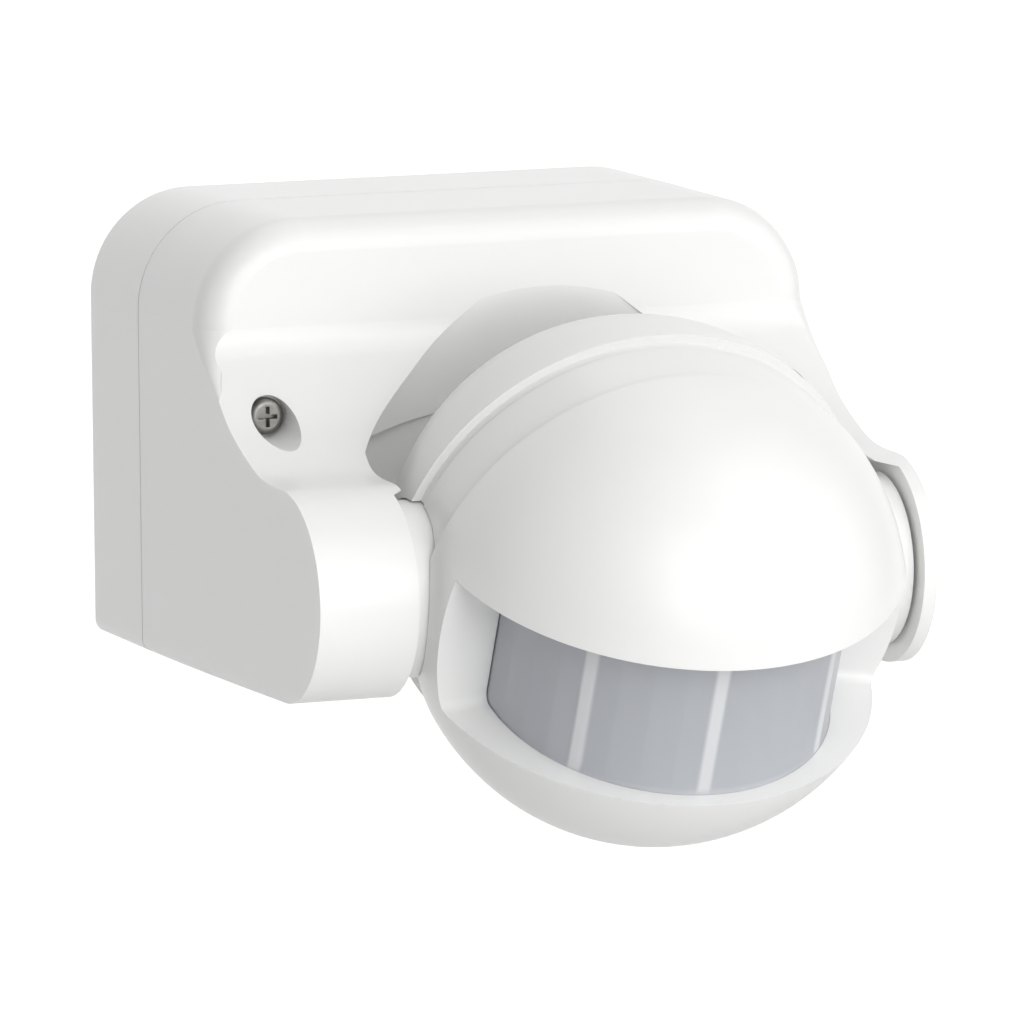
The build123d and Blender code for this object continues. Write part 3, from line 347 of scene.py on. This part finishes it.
def lens_radius(turn, outer):
    """Radius of the lens face at an angle, and how far up a rib it is: flat facets and raised ribs."""
    off_middle = ((turn - RIB_TURNS[1]) % FACET_WIDTH) - FACET_WIDTH / 2
    flat = (outer - FACET_DROP) * cos(radians(FACET_WIDTH / 2)) / cos(radians(off_middle))
    off_rib = min(abs(turn - rib) for rib in RIB_TURNS)
    lift = max(0.0, 1 - (off_rib / RIB_HALF_WIDTH) ** 2)
    return flat + (outer - flat) * min(1.0, lift * RIB_CROWN_GAIN), lift


def lens_ring(face, outer, inner, low_edge, high_edge):
    """The lens's cross-section at one angle: radius and height above the pivot, all the way round."""
    return (
        (inner, low_edge),
        (outer - LENS_EDGE, low_edge),
        (outer, low_edge + LENS_EDGE),
        (outer, low_edge + RIM_HEIGHT),
        (face, low_edge + RIM_HEIGHT + RIM_BLEND),
        (face, high_edge - RIM_HEIGHT - RIM_BLEND),
        (outer, high_edge - RIM_HEIGHT),
        (outer, high_edge),
        (inner, high_edge),
    )


def make_lens():
    """The segmented lens: a thin drum with flat facets, raised ribs and a rim along each long edge."""
    node = nodes["lens"]
    points = [in_head(node.matrix_world @ v.co) for v in node.data.vertices]
    outer = max(p.x for p in points)
    inner = outer - LENS_WALL
    middle = max(p.y for p in points) - outer
    low_edge = min(p.z for p in points)
    high_edge = max(p.z for p in points)
    reach = degrees(max(atan2(abs(p.x), p.y - middle) for p in points))
    columns = int(2 * reach / COLUMN_STEP)
    verts, faces, painted_highlight_amounts = [], [], []
    for i in range(columns + 1):
        turn = -reach + 2 * reach * i / columns
        face, lift = lens_radius(turn, outer)
        ring = lens_ring(face, outer, inner, low_edge, high_edge)
        for radius, up in ring:
            verts.append(head_point(radius * sin(radians(turn)), middle + radius * cos(radians(turn)), up))
            at_rim = min(up - low_edge, high_edge - up) <= RIM_HEIGHT
            # painted highlight: how much lighter each rib and rim is painted
            painted_highlight_amounts.append(RIM_PAINTED_HIGHLIGHT if at_rim else min(1.0, lift * RIB_PAINTED_HIGHLIGHT_GAIN))
    count = len(ring)
    for i in range(columns):
        for k in range(count):
            a = i * count + k
            b = i * count + (k + 1) % count
            faces.append((a, a + count, b + count, b))
    faces.append(tuple(range(count)))
    faces.append(tuple(reversed(range(columns * count, (columns + 1) * count))))
    mesh = bpy.data.meshes.new("faceted_lens")
    mesh.from_pydata(verts, [], faces)
    # the lens material reads this to paint a highlight onto the ribs and rims
    painted_highlight = mesh.attributes.new("painted_highlight", "FLOAT", "POINT")
    painted_highlight.data.foreach_set("value", painted_highlight_amounts)
    mesh.shade_smooth()
    mesh.set_sharp_from_angle(angle=SMOOTH_ANGLE)
    mesh.materials.append(materials["lens_plastic"])
    lens = bpy.data.objects.new("faceted_lens", mesh)
    bpy.context.scene.collection.objects.link(lens)
    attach(lens, "head")
    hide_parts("lens")


make_lens()

# ---------------------------------------------------------------- floor, light and camera
FLOOR_DROP = 0.30
FLOOR_FRONT = -4.0
FLOOR_HALF = 3.0
WALL_DISTANCE = 1.2
WALL_HEIGHT = 4.0
SWEEP_R = 0.5
SWEEP_STEPS = 24
FLOOR_DRIFT_SCALE = 3
FLOOR_DARK = (0.78, 0.78, 0.78)
FLOOR_LIGHT = (0.80, 0.80, 0.80)
# the backdrop glows softly from GLOW_START to its full strength at GLOW_FULL, along Y
BACKDROP_GLOW = 0.62
GLOW_START = 0.4
GLOW_FULL = 1.2


def floor_material(name):
    """Matt pale paint; the backdrop glows as if lit from behind, and the floor is clear from below."""
    n = Nodes(name)
    n.base_colour(n.mix(n.range(n.noise(FLOOR_DRIFT_SCALE), 0, 1), FLOOR_DARK, FLOOR_LIGHT))
    n.set(Roughness=0.9, Specular_IOR_Level=0.1, Emission_Color=(1, 1, 1, 1))
    place = n.add("ShaderNodeTexCoord")
    axes = n.add("ShaderNodeSeparateXYZ")
    n.link(place.outputs["Object"], axes.inputs["Vector"])
    glow = n.range(axes.outputs["Y"], 0, BACKDROP_GLOW, GLOW_START, GLOW_FULL)
    n.link(glow, n.shader.inputs["Emission Strength"])
    face_side = n.add("ShaderNodeNewGeometry")
    clear = n.add("ShaderNodeBsdfTransparent")
    choose = n.add("ShaderNodeMixShader")
    n.link(face_side.outputs["Backfacing"], choose.inputs[0])
    # the paint shows on the upper side and nothing shows on the lower side
    n.link(n.shader.outputs["BSDF"], choose.inputs[1])
    n.link(clear.outputs["BSDF"], choose.inputs[2])
    n.link(choose.outputs["Shader"], n.tree.nodes["Material Output"].inputs["Surface"])
    return n.material


def make_floor():
    """A pale floor that sweeps up into a plain backdrop behind the object."""
    level = cad_low.z - FLOOR_DROP
    back = cad_high.y + WALL_DISTANCE
    rows = [(FLOOR_FRONT, level)]
    for i in range(SWEEP_STEPS + 1):
        turn = i / SWEEP_STEPS * pi / 2
        rows.append((back + SWEEP_R * sin(turn), level + SWEEP_R * (1 - cos(turn))))
    rows.append((back + SWEEP_R, level + WALL_HEIGHT))
    mesh = bpy.data.meshes.new("floor")
    verts = [(x, y, z) for y, z in rows for x in (-FLOOR_HALF, FLOOR_HALF)]
    faces = [(2 * i, 2 * i + 1, 2 * i + 3, 2 * i + 2) for i in range(len(rows) - 1)]
    mesh.from_pydata(verts, [], faces)
    mesh.shade_smooth()
    mesh.materials.append(floor_material("floor_paint"))
    floor = bpy.data.objects.new("floor", mesh)
    bpy.context.scene.collection.objects.link(floor)


def softbox(name, place, target, power):
    """A soft square light that points at the target."""
    data = bpy.data.lights.new(name, "AREA")
    data.shape = "RECTANGLE"
    data.size = SOFTBOX_SIZE
    data.size_y = SOFTBOX_SIZE
    data.energy = power
    light = bpy.data.objects.new(name, data)
    light.location = place
    light.rotation_euler = (target - place).to_track_quat("-Z", "Y").to_euler()
    bpy.context.scene.collection.objects.link(light)


# name, azimuth in degrees to the right of the front, elevation in degrees, watts
SOFTBOXES = (
    ("front", 2, 12, 6.8),
    ("key", 32, 14, 3.1),
    ("front_left", -18, 20, 1.9),
    ("high", 10, 50, 1.5),
    ("high_right", 45, 40, 2.6),
    ("right", 70, 15, 1.2),
    ("back_top", 150, 75, 1.9),
)
SOFTBOX_DISTANCE = 1.3
SOFTBOX_SIZE = 0.9
WORLD_STRENGTH = 0.3


def make_lights():
    """Softboxes in front, at the right and above, aimed at the object's middle, and a weak even sky."""
    middle = (cad_low + cad_high) / 2
    for name, azimuth, elevation, power in SOFTBOXES:
        turn = radians(azimuth)
        rise = radians(elevation)
        way = Vector((sin(turn) * cos(rise), -cos(turn) * cos(rise), sin(rise)))
        softbox(name, middle + way * SOFTBOX_DISTANCE, middle, power)
    world = bpy.data.worlds.new("studio")
    world.use_nodes = True
    sky = world.node_tree.nodes["Background"]
    sky.inputs["Color"].default_value = (1, 1, 1, 1)
    sky.inputs["Strength"].default_value = WORLD_STRENGTH
    bpy.context.scene.world = world


CAMERA_TARGET = Vector((9.24, -24.0, -14.65)) * MM
CAMERA_DISTANCE = 1381.6 * MM
CAMERA_YAW = radians(21.31)
CAMERA_PITCH = radians(8.11)
CAMERA_ROLL = radians(-0.46)
CAMERA_LENS = 338.0
CAMERA_SENSOR = 36.0
CAMERA_NEAREST = 0.05
CAMERA_FARTHEST = 50


def make_camera():
    """A long-lens camera to the left of the sensor and a little above it."""
    flat = cos(CAMERA_PITCH)
    look = Vector((sin(CAMERA_YAW) * flat, cos(CAMERA_YAW) * flat, -sin(CAMERA_PITCH)))
    level = Vector((cos(CAMERA_YAW), -sin(CAMERA_YAW), 0))
    upright = level.cross(look)
    right = cos(CAMERA_ROLL) * level + sin(CAMERA_ROLL) * upright
    up = -sin(CAMERA_ROLL) * level + cos(CAMERA_ROLL) * upright
    data = bpy.data.cameras.new("camera")
    data.sensor_width = CAMERA_SENSOR
    data.lens = CAMERA_LENS
    data.clip_start = CAMERA_NEAREST
    data.clip_end = CAMERA_FARTHEST
    camera = bpy.data.objects.new("camera", data)
    turn = Matrix((right, up, -look)).transposed().to_4x4()
    camera.matrix_world = Matrix.Translation(CAMERA_TARGET - look * CAMERA_DISTANCE) @ turn
    bpy.context.scene.collection.objects.link(camera)
    bpy.context.scene.camera = camera


make_floor()
make_lights()
make_camera()
bpy.context.scene.view_settings.view_transform = "Standard"
